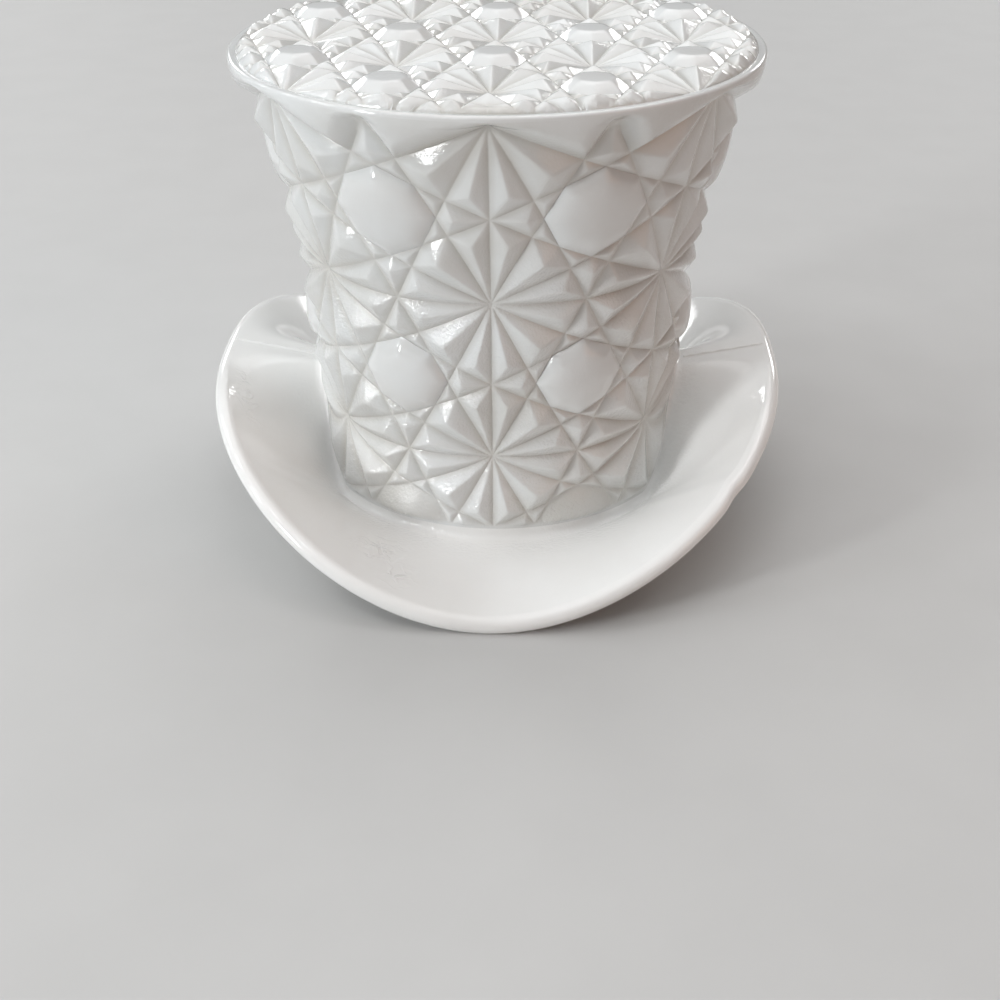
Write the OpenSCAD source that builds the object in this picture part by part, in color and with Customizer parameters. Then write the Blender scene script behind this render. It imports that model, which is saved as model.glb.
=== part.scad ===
// Pressed milk-glass top hat with a daisy-and-button relief, standing on its brim.
// +Z is up, the front is towards -Y, and the origin lies on the table under the crown's axis.
// Azimuth 0 is the front and grows towards +X.

/* [Crown] */
// Radius of the crown's top edge
top_edge_r = 36; // [33:0.5:40]
// Height of the crown's top edge above the table
top_edge_z = 65; // [56:0.5:80]
// Distance from the top edge down to the hearts of the first row of daisies
rim_h = 1.6; // [1.4:0.1:3]
// Radius that rounds the top edge
edge_round = 0.6; // [0.5:0.1:1.2]
// Width of the smooth ledge round the pattern on the top
ledge_w = 1.2; // [1:0.1:3]
// Radius of the wall at its waist, measured at the groove floors
waist_r = 26.2; // [24:0.1:29]
// Height of the waist above the table
waist_z = 18; // [14:0.5:24]
// Glass behind the groove floors of the wall
wall_t = 3.2; // [2.4:0.1:4.5]
// Glass below the groove floors of the top
top_t = 3.2; // [2.4:0.1:4.5]

/* [Pattern] */
// Daisies in one row round the wall
columns = 6; // [5:1:8]
// Degrees by which the columns beside the front and the back are drawn towards them
column_draw = 4.4; // [0:0.2:6]
// Height of the wall's ridges and buttons above the groove floors
wall_relief = 1.75; // [0.8:0.05:2]
// Depth of a wall daisy's heart below the groove floors
wall_pit = 0.6; // [0.3:0.05:1.2]
// How much taller the upper rows of the wall are than the lower ones
row_taper = 0.115; // [0:0.005:0.2]
// Distance between neighbouring daisies on the top
top_pitch = 17.75; // [15:0.25:21]
// Height of the top's ridges and buttons above the groove floors
top_relief = 1.25; // [0.6:0.05:1.6]
// Depth of a top daisy's heart below the groove floors
top_pit = 0.9; // [0.3:0.05:1]
// Height of the top's groove floors above the top edge
top_floor = 0.6; // [0.4:0.05:1.2]

/* [Brim] */
// Width of the brim from side to side
brim_w = 82; // [76:0.5:96]
// Length of the brim from front to back
brim_l = 92.5; // [84:0.5:106]
// Squareness of the brim's plan, where 2 is an ellipse
brim_square = 2.45; // [2:0.05:3]
// Thickness of the brim and of its round lip
brim_t = 2.7; // [2.2:0.1:3.4]
// How far the lip is turned up at the sides
side_lift = 18.5; // [12:0.1:24]
// How late the lip rises on its way to the sides
side_curl = 1.77; // [1.6:0.01:2.4]
// Height of the brim's root above the table at the front
root_z = 2.9; // [2.8:0.1:6]
// How far the brim's root climbs at the sides
root_lift = 15.3; // [10:0.1:19]
// Azimuth from the front at which the root starts to climb
climb_from = 52; // [40:1:60]
// Azimuth from the front at which the root reaches its full height
climb_to = 86; // [75:1:90]
// Reach of the cove that leads from the wall into the brim
cove = 1.5; // [1.2:0.1:3]
// Depth to which the lip is worn flat where it stands
foot_wear = 0.42; // [0.36:0.02:0.56]
// Width of a mould seam on the brim
seam_w = 0.7; // [0.4:0.05:1]
// Height of a mould seam
seam_h = 0.3; // [0.15:0.05:0.5]

/* [Hidden] */
glass = [0.93, 0.94, 0.93];
button_glass = [0.95, 0.95, 0.94];
$fn = 120;

// Clearance that keeps seated pieces from touching
seat = 0.02;
// Rows of daisies on the wall: a half row under the rim, then two whole ones
rows = 2.5;
// Plain strip between the pattern and the cove
foot_strip = 0.2;
// Counts of steps round the hat, down the bore, and along cove, brim and lip
ring_steps = 72;
bore_steps = 6;
cove_steps = 5;
brim_steps = 4;
lip_steps = 8;
// Rings between the edge of a button and its middle
dome_rings = 3;

wall_top_z = top_edge_z - rim_h;
rim_z = top_edge_z - edge_round;
ceiling_z = top_edge_z + top_floor - top_t;
top_r = top_edge_r - ledge_w;
lip_z = brim_t / 2 - foot_wear;
half_w = (brim_w - brim_t) / 2;
half_l = (brim_l - brim_t) / 2;

// General helpers
function mix(a, b, t) = a + (b - a) * t;
function unit(v) = v / norm(v);
function ease(t) = let (s = min(1, max(0, t))) s * s * (3 - 2 * s);
function flip(facets) = [for (f = facets) [f[0], f[2], f[1]]];
function around(rz, a) = [rz[0] * sin(a), -rz[0] * cos(a), rz[1]];
// A facet with four corners, cut along its shorter diagonal so that touching pieces are cut alike
function quad(a, b, c, d) =
    norm(a - c) <= norm(b - d) ? [[a, b, c], [a, c, d]] : [[a, b, d], [b, c, d]];

// Coordinates are rounded so that neighbouring facets share the same corners
function snap(p) = [for (c = p) round(c * 1e5) / 1e5];

// A closed solid from a list of triangular facets
module solid(facets) {
    polyhedron(points = [for (f = facets) each [for (p = f) snap(p)]],
               faces = [for (i = [0:len(facets) - 1]) [3 * i, 3 * i + 1, 3 * i + 2]]);
}

// The strip between two rings of points, each point given as [azimuth, position]
function zip(a, b, i = 0, j = 0, found = []) =
    i == len(a) - 1 && j == len(b) - 1 ? found :
    let (step_a = j == len(b) - 1 || (i < len(a) - 1 && a[i + 1][0] <= b[j + 1][0]))
    step_a ? zip(a, b, i + 1, j, concat(found, [[a[i][1], a[i + 1][1], b[j][1]]]))
           : zip(a, b, i, j + 1, concat(found, [[a[i][1], b[j + 1][1], b[j][1]]]));

// A solid swept once round the hat, whose section at an azimuth is a closed list of [r, z]
function swept(section) =
    let (rings = [for (i = [0:ring_steps - 1])
                  let (a = i * 360 / ring_steps) [for (p = section(a)) around(p, a)]],
         n = len(rings[0]))
    [for (i = [0:ring_steps - 1], k = [0:n - 1])
        let (here = rings[i], next = rings[(i + 1) % ring_steps], m = (k + 1) % n)
        each quad(here[k], next[k], next[m], here[m])];

// The quarter of a daisy between two lattice axes.
// A point is [along, across, rise, pit]: rise is its distance from the nearest grooves,
// and pit is 1 at the daisy's heart. Lengths are in lattice units.
function level(p, a, b) =
    let (e = [b[0] - a[0], b[1] - a[1]], d = [p[0] - a[0], p[1] - a[1]])
    [p[0], p[1], abs(e[0] * d[1] - e[1] * d[0]) / norm(e), 0];
function plan_gap(a, b) = norm([a[0] - b[0], a[1] - b[1]]);
function incentre(a, b, c) =
    let (wa = plan_gap(b, c), wb = plan_gap(a, c), wc = plan_gap(a, b))
    level((wa * a + wb * b + wc * c) / (wa + wb + wc), a, b);
function swap(p) = [p[1], p[0], p[2], p[3]];
function swapped(facets) = flip([for (f = facets) [for (p = f) swap(p)]]);

heart = [0, 0, 0, 1];
star = [1/2, 0, 0, 0];
crossing = [2/5, 1/5, 0, 0];
button_tip = [1/2, 1/4, 0, 0];
button_corner = [1/3, 1/3, 0, 0];
button_mid = [1/2, 1/2, 0, 0];
petal_top = incentre(heart, star, crossing);
kite_top = level([1/4, 1/4], heart, crossing);
star_top = level([1/2, 1/6], star, crossing);
chip_top = incentre(crossing, button_tip, button_corner);

// A long facet between a valley and a ridge that both start at the heart, bent at its middle
function blade(valley, ridge) =
    let (a = (heart + valley) / 2, b = (heart + ridge) / 2)
    [[heart, a, b], [a, valley, ridge], [a, ridge, b]];
petal = concat(
    blade(star, petal_top),
    [[star, crossing, petal_top]],
    flip(blade(crossing, petal_top)));
beside_petal = concat(
    blade(crossing, kite_top),
    [[crossing, button_corner, kite_top],
     [star, star_top, crossing], [star_top, button_tip, crossing],
     [crossing, button_tip, chip_top], [button_tip, button_corner, chip_top],
     [button_corner, crossing, chip_top],
     [button_corner, button_tip, button_mid]]);
half_quarter = concat(petal, beside_petal);
quarter = concat(half_quarter, swapped(half_quarter));

// Under the rim no groove joins heart and star, so the petal there swells to a full brow
brow_rise = 0.14;
brow_from = [1/10, 0, brow_rise, 0];
brow_to = [9/20, 0, brow_rise, 0];
brow_low = [19/50, 7/50, brow_rise, 0];
half_way = (heart + crossing) / 2;
brow_petal = [[heart, brow_from, brow_low], [heart, brow_low, half_way], [half_way, brow_low, crossing],
              [brow_from, brow_to, brow_low], [brow_to, star, crossing], [brow_to, crossing, brow_low]];
brow_quarter = concat(brow_petal, beside_petal, swapped(half_quarter));
brow_side = [heart, brow_from, brow_to, star];
brow_line = concat(brow_side, [for (k = [2, 1]) [1 - brow_side[k][0], 0, brow_side[k][2], brow_side[k][3]]]);

// A quarter set at a daisy, turned into one of its four quadrants
function placed(source, i, j, su, sv) =
    let (facets = [for (f = source) [for (p = f) [i + su * p[0], j + sv * p[1], p[2], p[3]]]])
    su * sv > 0 ? facets : flip(facets);

// Pit along a line of hearts and stars, which ends the pattern
function border_pit(t) = abs(1 - 2 * (t - floor(t)));

// Height of a lattice point over the groove floors
function relief(p, ridge, pit) = ridge * p[2] / kite_top[2] - pit * p[3];

// A button at a cell of the lattice: an eight-sided dome with a parabolic section.
// Its corners are the button_tip and button_corner points of the quarters round it.
function button_point(i, j, k, share) =
    let (reach = plan_gap(button_mid, k % 2 == 0 ? button_tip : button_corner))
    button_mid + [i + share * reach * cos(45 * k), j + share * reach * sin(45 * k), 0, 0];
function button_facets(i, j, height, set_on) =
    let (ring = function(n, k) let (share = n / dome_rings)
             set_on(button_point(i, j, k, share), seat + height * (1 - share * share)),
         mid = button_mid + [i, j, 0, 0],
         crown = set_on(mid, seat + height),
         base = set_on(mid, seat))
    concat([for (k = [0:7], n = [2:dome_rings])
               each quad(ring(n, k), ring(n, k + 1), ring(n - 1, k + 1), ring(n - 1, k))],
           [for (k = [0:7]) [ring(1, k), ring(1, k + 1), crown]],
           [for (k = [0:7]) [ring(dome_rings, k + 1), ring(dome_rings, k), base]]);

// Wall: radius of the groove floors at a height, and the brim's root below it
flare = top_edge_r - wall_relief - waist_r;
function wall_r(z) = waist_r + flare * pow((z - waist_z) / (top_edge_z - waist_z), 2);
function bore_r(z) = wall_r(z) - wall_t;
function side_azimuth(a) = asin(abs(sin(a)));
function root_climb(a) = root_lift * ease((side_azimuth(a) - climb_from) / (climb_to - climb_from));
function foot_z(a) = root_z + root_climb(a) + cove;

// Share of the way down the wall at a row, and how far the lowest row gives way to the brim
function row_share(v) = v / rows * (1 + row_taper * (1 - v / rows));
function yield(v) = ease(v - (rows - 1));
function azimuth(u) = let (a = u * 360 / columns) a - column_draw * sin(2 * a);
function row_z(v, a) =
    mix(wall_top_z, foot_z(0) + foot_strip, row_share(v)) + root_climb(a) * yield(v);
function on_wall(p, lift = 0) =
    let (a = azimuth(p[0]),
         z = row_z(p[1], a),
         fade = p[1] >= rows ? 0 : 1 - yield(p[1]) * root_climb(a) / root_lift,
         h = fade * relief(p, wall_relief, wall_pit) + lift)
    around([wall_r(z) + h, z], a);

// Top: the lattice lies at 45 degrees to the front
function on_top(p, lift = 0) =
    [(p[0] - p[1]) * top_pitch * cos(45),
     (p[0] + p[1]) * top_pitch * cos(45),
     top_edge_z + top_floor + relief(p, top_relief, top_pit) + lift];

// Brim: the lip's centre line, and the line from the root to the lip at an azimuth
function lip_centre(a) =
    let (r = pow(pow(abs(sin(a)) / half_w, brim_square) + pow(abs(cos(a)) / half_l, brim_square),
                 -1 / brim_square))
    [r, lip_z + side_lift * pow(abs(r * sin(a)) / half_w, side_curl)];
function root(a) = let (z = root_z + root_climb(a)) [wall_r(z), z];
function slope(a) = unit(lip_centre(a) + [0, brim_t / 2] - root(a));
function up_from(e) = [-e[1], e[0]];
function grounded(p) = [p[0], max(0, p[1])];

// Outer and inner point of the cove, a curve from the wall's foot round the root to the brim
function cove_pair(a, t) =
    let (k = root(a),
         top = [wall_r(foot_z(a)), foot_z(a)],
         out = k + cove * slope(a),
         p = mix(mix(top, k, t), mix(k, out, t), t),
         e = unit(mix(k - top, out - k, t)))
    [p, grounded(p - mix(wall_t, brim_t, t) * up_from(e))];
// Upper and lower point of the brim between the cove and the lip
function brim_pair(a, t) =
    let (start = cove_pair(a, 1), n = up_from(slope(a)) * brim_t / 2, c = lip_centre(a))
    [mix(start[0], c + n, t), grounded(mix(start[1], c - n, t))];
function pair_section(pairs) =
    concat([for (p = pairs) p[0]], [for (i = [len(pairs) - 1:-1:0]) pairs[i][1]]);

module crown_top() {
    reach = ceil(top_r / top_pitch);
    walk = [for (t = [-reach:1/4:reach - 1/4]) t];
    border = [for (p = concat([for (t = walk) [t, -reach]], [for (t = walk) [reach, t]],
                              [for (t = walk) [-t, reach]], [for (t = walk) [-reach, -t]]))
                 on_top([p[0], p[1], 0, border_pit(p[0] + p[1])])];
    foot = [for (p = border) [p[0], p[1], ceiling_z]];
    n = len(border);
    facets = concat(
        [for (i = [-reach:reach], j = [-reach:reach], su = [-1, 1], sv = [-1, 1])
            if (abs(i + su / 2) < reach && abs(j + sv / 2) < reach)
                each [for (f = placed(quarter, i, j, su, sv)) [for (p = f) on_top(p)]]],
        [for (k = [0:n - 1]) let (m = (k + 1) % n) each quad(foot[k], foot[m], border[m], border[k])],
        [for (k = [0:n - 1]) [foot[(k + 1) % n], foot[k], [0, 0, ceiling_z]]]);
    // The field lies on the wall's end, and a plug below it closes the bore
    color(glass)
    intersection() {
        solid(flip(facets));
        union() {
            translate([0, 0, rim_z])
            cylinder(r = top_r, h = top_edge_z);
            translate([0, 0, ceiling_z])
            cylinder(r1 = bore_r(ceiling_z) - seat, r2 = bore_r(rim_z) - seat, h = rim_z - ceiling_z);
        }
    }
}

module top_buttons() {
    reach = ceil(top_r / top_pitch);
    color(button_glass)
    for (i = [-reach:reach], j = [-reach:reach])
        if (norm(on_top(button_mid + [i, j, 0, 0]) - [0, 0, top_edge_z]) + top_pitch / 4 < top_r)
            solid(flip(button_facets(i, j, top_relief, function(p, h) on_top(p, h))));
}

module crown_rim() {
    color(glass)
    rotate_extrude()
    polygon(concat(
        [[top_r + seat, rim_z]],
        [for (t = [0:15:90])
            [top_edge_r - edge_round * (1 - cos(t)), top_edge_z - edge_round * (1 - sin(t))]],
        [[top_r + seat, top_edge_z]]));
}

module crown_wall() {
    steps = [for (i = [0:ring_steps]) i * 360 / ring_steps];
    outer_foot = [for (a = steps) [a, around(cove_pair(a, 0)[0], a)]];
    inner = function(a, t)
        let (low = cove_pair(a, 0)[1], z = mix(low[1], rim_z, t))
        around(t == 0 ? low : [bore_r(z), z], a);
    inner_top = [for (a = steps) [a, inner(a, 1)]];
    outer_top = [for (a = steps) [a, around([top_edge_r, rim_z], a)]];
    // Lattice points along the pattern's upper and lower border, sorted round the hat
    foot_line = [for (u = [0, 1/6, 1/4, 1/2, 3/4, 5/6]) [u, rows, 0, 0]];
    border = function(line)
        [for (i = [0:columns], p = line) if (i + p[0] <= columns)
            [azimuth(i + p[0]), on_wall([(i + p[0]) % columns, p[1], p[2], p[3]])]];
    color(glass)
    solid(concat(
        [for (i = [0:columns - 1], j = [0:2], su = [-1, 1], sv = j == 0 ? [1] : [-1, 1])
            each [for (f = placed(j == 0 ? brow_quarter : quarter, i, j, su, sv)) [for (p = f) on_wall(p)]]],
        zip(outer_top, border(brow_line)),
        zip(border(foot_line), outer_foot),
        [for (i = [0:ring_steps - 1])
            each quad(outer_foot[i][1], outer_foot[i + 1][1],
                      inner(steps[i + 1], 0), inner(steps[i], 0))],
        [for (i = [0:ring_steps - 1], k = [0:bore_steps - 1])
            each quad(inner(steps[i], k / bore_steps), inner(steps[i + 1], k / bore_steps),
                      inner(steps[i + 1], (k + 1) / bore_steps), inner(steps[i], (k + 1) / bore_steps))],
        zip(inner_top, outer_top)));
}

module wall_buttons() {
    color(button_glass)
    for (i = [0:columns - 1], j = [0:rows - 1])
        solid(button_facets(i, j, wall_relief, function(p, h) on_wall(p, h)));
}

module crown_cove() {
    color(glass)
    solid(swept(function(a) pair_section([for (k = [0:cove_steps]) cove_pair(a, k / cove_steps)])));
}

module brim() {
    color(glass)
    solid(swept(function(a) pair_section([for (k = [0:brim_steps]) brim_pair(a, k / brim_steps)])));
}

module brim_lip() {
    color(glass)
    solid(swept(function(a)
        let (e = slope(a), n = up_from(e), c = lip_centre(a))
        [for (k = [0:lip_steps])
            let (t = k * 180 / lip_steps)
            grounded(c + brim_t / 2 * (e * sin(t) + n * cos(t)))]));
}

module mould_seams() {
    color(glass)
    for (side = [-90, 90]) {
        path = [for (k = [0:brim_steps]) brim_pair(side, k / brim_steps)[0]];
        n = up_from(slope(side));
        ribs = [for (p = path) [for (w = [-1, 0, 1])
            let (q = around(p + n * (seat + (w == 0 ? seam_h : 0)), side))
            q + w * seam_w / 2 * [cos(side), sin(side), 0]]];
        last = brim_steps;
        solid(concat(
            [for (k = [0:last - 1], w = [0:2])
                each quad(ribs[k][w], ribs[k][(w + 1) % 3], ribs[k + 1][(w + 1) % 3], ribs[k + 1][w])],
            [[ribs[0][0], ribs[0][2], ribs[0][1]], ribs[last]]));
    }
}

crown_top();
top_buttons();
crown_rim();
crown_wall();
wall_buttons();
crown_cove();
brim();
brim_lip();
mould_seams();
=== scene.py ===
# %% [markdown]
# # A pressed milk-glass top hat
# The real object is one pressing of opaque white glass. An iron mould gave its crown a
# daisy-and-button relief, and the brim was left smooth and turned up at the sides.
# The CAD model divides the glass into nine nodes. This lesson gives each node a finer skin,
# in the same place and to the same rules, and then a glass finish, light and a camera.

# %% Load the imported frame
import math

import bpy
import numpy as np
from mathutils import Matrix, Vector


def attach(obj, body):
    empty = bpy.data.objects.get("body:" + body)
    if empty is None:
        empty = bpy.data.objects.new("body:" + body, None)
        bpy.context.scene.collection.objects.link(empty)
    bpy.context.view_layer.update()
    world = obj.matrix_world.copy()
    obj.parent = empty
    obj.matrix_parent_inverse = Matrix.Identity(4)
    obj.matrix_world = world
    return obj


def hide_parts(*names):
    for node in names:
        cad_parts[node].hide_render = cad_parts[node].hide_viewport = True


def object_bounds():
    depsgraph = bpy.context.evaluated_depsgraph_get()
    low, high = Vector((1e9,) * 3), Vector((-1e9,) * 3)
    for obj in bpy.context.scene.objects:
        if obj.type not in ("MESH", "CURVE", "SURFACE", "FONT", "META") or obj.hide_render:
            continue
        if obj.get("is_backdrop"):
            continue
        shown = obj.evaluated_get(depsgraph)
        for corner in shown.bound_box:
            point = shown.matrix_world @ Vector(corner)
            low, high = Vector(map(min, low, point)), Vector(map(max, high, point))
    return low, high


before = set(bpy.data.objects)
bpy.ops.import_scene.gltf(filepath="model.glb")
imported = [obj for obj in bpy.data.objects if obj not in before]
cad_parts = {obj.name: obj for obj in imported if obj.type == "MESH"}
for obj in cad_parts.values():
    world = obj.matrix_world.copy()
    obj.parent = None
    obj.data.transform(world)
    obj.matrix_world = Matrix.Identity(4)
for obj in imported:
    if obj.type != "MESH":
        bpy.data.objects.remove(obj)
cad_box = [list(corner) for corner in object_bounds()]
print("CAD box in mm:", [[round(1000 * c, 2) for c in corner] for corner in cad_box])

# %% [markdown]
# The camera comes first, because every later step is judged through it.
# A camera could be aimed with a constraint, but a matrix made of three axes says plainly where
# it looks: down at about 30 degrees, nearly from the front, with a very small roll.

# %% Camera
def add_object(name, data):
    thing = bpy.data.objects.new(name, data)
    bpy.context.scene.collection.objects.link(thing)
    return thing


look_down = 0.532725
side_step = math.radians(1.9)
roll = -0.00478
walk_round = Matrix.Rotation(side_step, 3, "Z")
look = walk_round @ Vector((0, math.cos(look_down), -math.sin(look_down)))
right = walk_round @ Vector((1, 0, 0))
axes = Matrix((right, right.cross(look), -look)).transposed()
axes = axes @ Matrix.Rotation(roll, 3, "Z")
camera = add_object("camera", bpy.data.cameras.new("camera"))
camera.data.sensor_width = 36
camera.data.lens = 54
camera.data.clip_start = 0.01
place = walk_round @ Vector((0.000108, -0.20525, 0.11422))
camera.matrix_world = Matrix.Translation(place) @ axes.to_4x4()
bpy.context.scene.camera = camera
print("camera stands", round(place.length, 3), "m from the hat's foot")

# %% [markdown]
# A rule such as the flare of the crown is arithmetic. In Geometry Nodes each sum is a node of its
# own, and wiring hundreds by hand hides the rule. A small class lets a socket be added and
# multiplied like a number, so that the rule stays readable and the nodes are made on the way.

# %% Arithmetic that builds nodes
def plug(socket, value):
    source = value.socket if isinstance(value, Amount) else value
    if isinstance(source, bpy.types.NodeSocket):
        socket.id_data.links.new(source, socket)
    else:
        socket.default_value = source


def add_node(tree, kind, settings=None, **inputs):
    node = tree.nodes.new(kind)
    for name, value in (settings or {}).items():
        setattr(node, name, value)
    for name, value in inputs.items():
        plug(node.inputs[name.replace("_", " ")], value)
    return node


def reckon(operation, *terms):
    tree = next(term.socket.id_data for term in terms if isinstance(term, Amount))
    node = add_node(tree, "ShaderNodeMath", {"operation": operation})
    for socket, term in zip(node.inputs, terms):
        plug(socket, term)
    return Amount(node.outputs[0])


class Amount:
    def __init__(self, socket):
        self.socket = socket

    def __add__(self, other):
        return reckon("ADD", self, other)

    def __sub__(self, other):
        return reckon("SUBTRACT", self, other)

    def __rsub__(self, other):
        return reckon("SUBTRACT", other, self)

    def __mul__(self, other):
        return reckon("MULTIPLY", self, other)

    def __truediv__(self, other):
        return reckon("DIVIDE", self, other)

    def __rtruediv__(self, other):
        return reckon("DIVIDE", other, self)

    def __pow__(self, other):
        return reckon("POWER", self, other)

    def __abs__(self):
        return reckon("ABSOLUTE", self)

    __radd__ = __add__
    __rmul__ = __mul__


def blend_to(start, end, share):
    return start + (end - start) * share


def ease(value, start, end):
    tree = value.socket.id_data
    node = add_node(tree, "ShaderNodeMapRange", {"interpolation_type": "SMOOTHSTEP"},
                    Value=value, From_Min=start, From_Max=end)
    return Amount(node.outputs["Result"])


def point_at(x, y, z):
    tree = next(c.socket.id_data for c in (x, y, z) if isinstance(c, Amount))
    return add_node(tree, "ShaderNodeCombineXYZ", X=x, Y=y, Z=z).outputs[0]


def around(r, sine, cosine, z):
    return point_at(r * sine, r * cosine * -1.0, z)


def read_position(tree):
    where = add_node(tree, "GeometryNodeInputPosition").outputs[0]
    parts = add_node(tree, "ShaderNodeSeparateXYZ", Vector=where)
    return [Amount(socket) for socket in parts.outputs]


def noise_in(vector, scale, detail=1.0, **more):
    node = add_node(vector.id_data, "ShaderNodeTexNoise", Vector=vector, Scale=scale, Detail=detail, **more)
    return Amount(node.outputs[0])


def waviness(vector, scale, detail=1.0):
    return noise_in(vector, scale, detail) - 0.5


# %% [markdown]
# Each tree gets named inputs for its sizes. Laying copies of a shape and moving points come up in
# several trees, so both are functions. To use a tree, an empty mesh carries it as a modifier, the
# inputs are set by their identifiers, and the result is copied out as a plain mesh.

# %% Trees with named sizes
NUMBER, COLOR = "NodeSocketFloat", "NodeSocketColor"
SOCKET_KINDS = {float: NUMBER, int: "NodeSocketInt",
                bpy.types.Object: "NodeSocketObject", bpy.types.Material: "NodeSocketMaterial"}


def add_sockets(tree, way, kinds):
    for label, kind in kinds.items():
        tree.interface.new_socket(label, in_out=way, socket_type=kind)


def new_tree(name, sizes):
    tree = bpy.data.node_groups.new(name, "GeometryNodeTree")
    add_sockets(tree, "OUTPUT", {"Geometry": "NodeSocketGeometry"})
    add_sockets(tree, "INPUT", {label: SOCKET_KINDS[type(value)] for label, value in sizes.items()})
    entry = tree.nodes.new("NodeGroupInput")
    return tree, {label: Amount(entry.outputs[label]) for label in sizes}


def lay_copies(points, shape):
    tree = points.id_data
    info = add_node(tree, "GeometryNodeObjectInfo", Object=shape)
    laid = add_node(tree, "GeometryNodeInstanceOnPoints", Points=points, Instance=info.outputs["Geometry"])
    return add_node(tree, "GeometryNodeRealizeInstances", Geometry=laid.outputs[0]).outputs[0]


def move_points(geometry, position):
    tree = geometry.id_data
    return add_node(tree, "GeometryNodeSetPosition", Geometry=geometry, Position=position).outputs[0]


def close_tree(tree, geometry, glass):
    real = add_node(tree, "GeometryNodeRealizeInstances", Geometry=geometry)
    smooth = add_node(tree, "GeometryNodeSetShadeSmooth", Geometry=real.outputs[0])
    dressed = add_node(tree, "GeometryNodeSetMaterial", Geometry=smooth.outputs[0], Material=glass)
    add_node(tree, "NodeGroupOutput", Geometry=dressed.outputs[0])


def grow(name, tree, sizes):
    carrier = add_object(name, bpy.data.meshes.new(name))
    modifier = carrier.modifiers.new("rule", "NODES")
    modifier.node_group = tree
    for item in tree.interface.items_tree:
        if item.in_out == "INPUT":
            modifier[item.identifier] = sizes[item.name]
    depsgraph = bpy.context.evaluated_depsgraph_get()
    mesh = bpy.data.meshes.new_from_object(carrier.evaluated_get(depsgraph))
    carrier.modifiers.remove(modifier)
    carrier.data = mesh
    return carrier


# %% [markdown]
# The sizes repeat those of the CAD model, in metres, so that each skin lies where its node lies.

# %% Sizes of the hat
MM = 0.001
top_edge_r = 36 * MM
top_edge_z = 65 * MM
edge_round = 0.6 * MM
top_r = top_edge_r - 1.2 * MM
waist_r = 26.2 * MM
waist_z = 18 * MM
wall_t = 3.2 * MM
columns = 6
rows = 2.5
wall_relief = 1.75 * MM
wall_pit = 0.6 * MM
top_pitch = 17.75 * MM
top_relief = 1.25 * MM
top_pit = 0.9 * MM
top_floor = 0.6 * MM
brim_t = 2.7 * MM
half_w = (82 * MM - brim_t) / 2
half_l = (92.5 * MM - brim_t) / 2
root_z = 2.9 * MM
cove = 1.5 * MM
seat = 0.02 * MM
wall_top_z = top_edge_z - 1.6 * MM
ceiling_z = top_edge_z + top_floor - 3.2 * MM
rim_z = top_edge_z - edge_round
flare = top_edge_r - wall_relief - waist_r

wall_sizes = {"Waist Radius": waist_r, "Waist Height": waist_z, "Flare": flare,
              "Top Edge Height": top_edge_z, "Root Lift": 15.3 * MM,
              "Climb From": math.radians(52), "Climb To": math.radians(86)}


# The next rule serves nodes and plain numbers alike.
def wall_radius(z, size):
    rise = (z - size["Waist Height"]) / (size["Top Edge Height"] - size["Waist Height"])
    return size["Waist Radius"] + size["Flare"] * (rise * rise)


def root_climb(side_sine, size):
    side = reckon("ARCSINE", abs(side_sine))
    return size["Root Lift"] * ease(side, size["Climb From"], size["Climb To"])


print("crown", round(2000 * top_edge_r), "mm across and", round(1000 * top_edge_z), "mm high")

# %% [markdown]
# ## The finish
# Milk glass is white all through, and its surface is as glossy as any glass. Close up it is not
# even: the mould leaves a fine pebbly grain, the hot glass flows in creases, fire polishing leaves
# the gloss a little uneven, and the white is faintly cloudy. Each effect is a node group, so that
# three glasses can share them with their own amounts.

# %% Shader groups for milk glass
def new_effect(name, inputs, outputs):
    group = bpy.data.node_groups.new(name, "ShaderNodeTree")
    add_sockets(group, "INPUT", {"Vector": "NodeSocketVector", **inputs})
    add_sockets(group, "OUTPUT", outputs)
    entry = group.nodes.new("NodeGroupInput")
    given = {label: Amount(entry.outputs[label]) for label in inputs}
    return group, entry.outputs["Vector"], given, group.nodes.new("NodeGroupOutput")


def mould_grain_effect():
    group, where, given, end = new_effect(
        "mould_grain", {"Pebble Scale": NUMBER, "Patchiness": NUMBER}, {"Height": NUMBER})
    pebble = noise_in(where, given["Pebble Scale"], detail=2.0, Roughness=0.55)
    worn = ease(noise_in(where, scale=170.0), 0.36, 0.62)
    plug(end.inputs["Height"], (pebble - 0.5) * (1 - worn * given["Patchiness"]))
    return group


def flow_creases_effect():
    group, where, given, end = new_effect("flow_creases", {"Mask": NUMBER}, {"Height": NUMBER})
    drift = noise_in(where, scale=430.0, detail=2.0, Distortion=0.8)
    ridge = 1 - ease(abs(drift - 0.5), 0.0, 0.1)
    plug(end.inputs["Height"], ridge * given["Mask"])
    return group


def uneven_gloss_effect():
    group, where, given, end = new_effect(
        "uneven_gloss", {"Polished": NUMBER, "Dull": NUMBER}, {"Roughness": NUMBER})
    smeared = ease(noise_in(where, scale=240.0, detail=3.0), 0.32, 0.7)
    plug(end.inputs["Roughness"], blend_to(given["Polished"], given["Dull"], smeared))
    return group


def cloudy_white_effect():
    group, where, given, end = new_effect(
        "cloudy_white", {"Bright": COLOR, "Dim": COLOR, "Shade": NUMBER}, {"Color": COLOR})
    # Shade darkens the white towards Dim. The patterned glass feeds it painted shade for its grooves.
    share = ease(noise_in(where, scale=70.0, detail=4.0), 0.3, 0.75) * 0.6 + given["Shade"]
    mix = add_node(group, "ShaderNodeMix", {"data_type": "RGBA"})
    first_color, second_color, mixed_color = mix.inputs[6], mix.inputs[7], mix.outputs[2]
    plug(mix.inputs["Factor"], reckon("MINIMUM", share, 1.0))
    plug(first_color, given["Bright"])
    plug(second_color, given["Dim"])
    plug(end.inputs["Color"], mixed_color)
    return group


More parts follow.
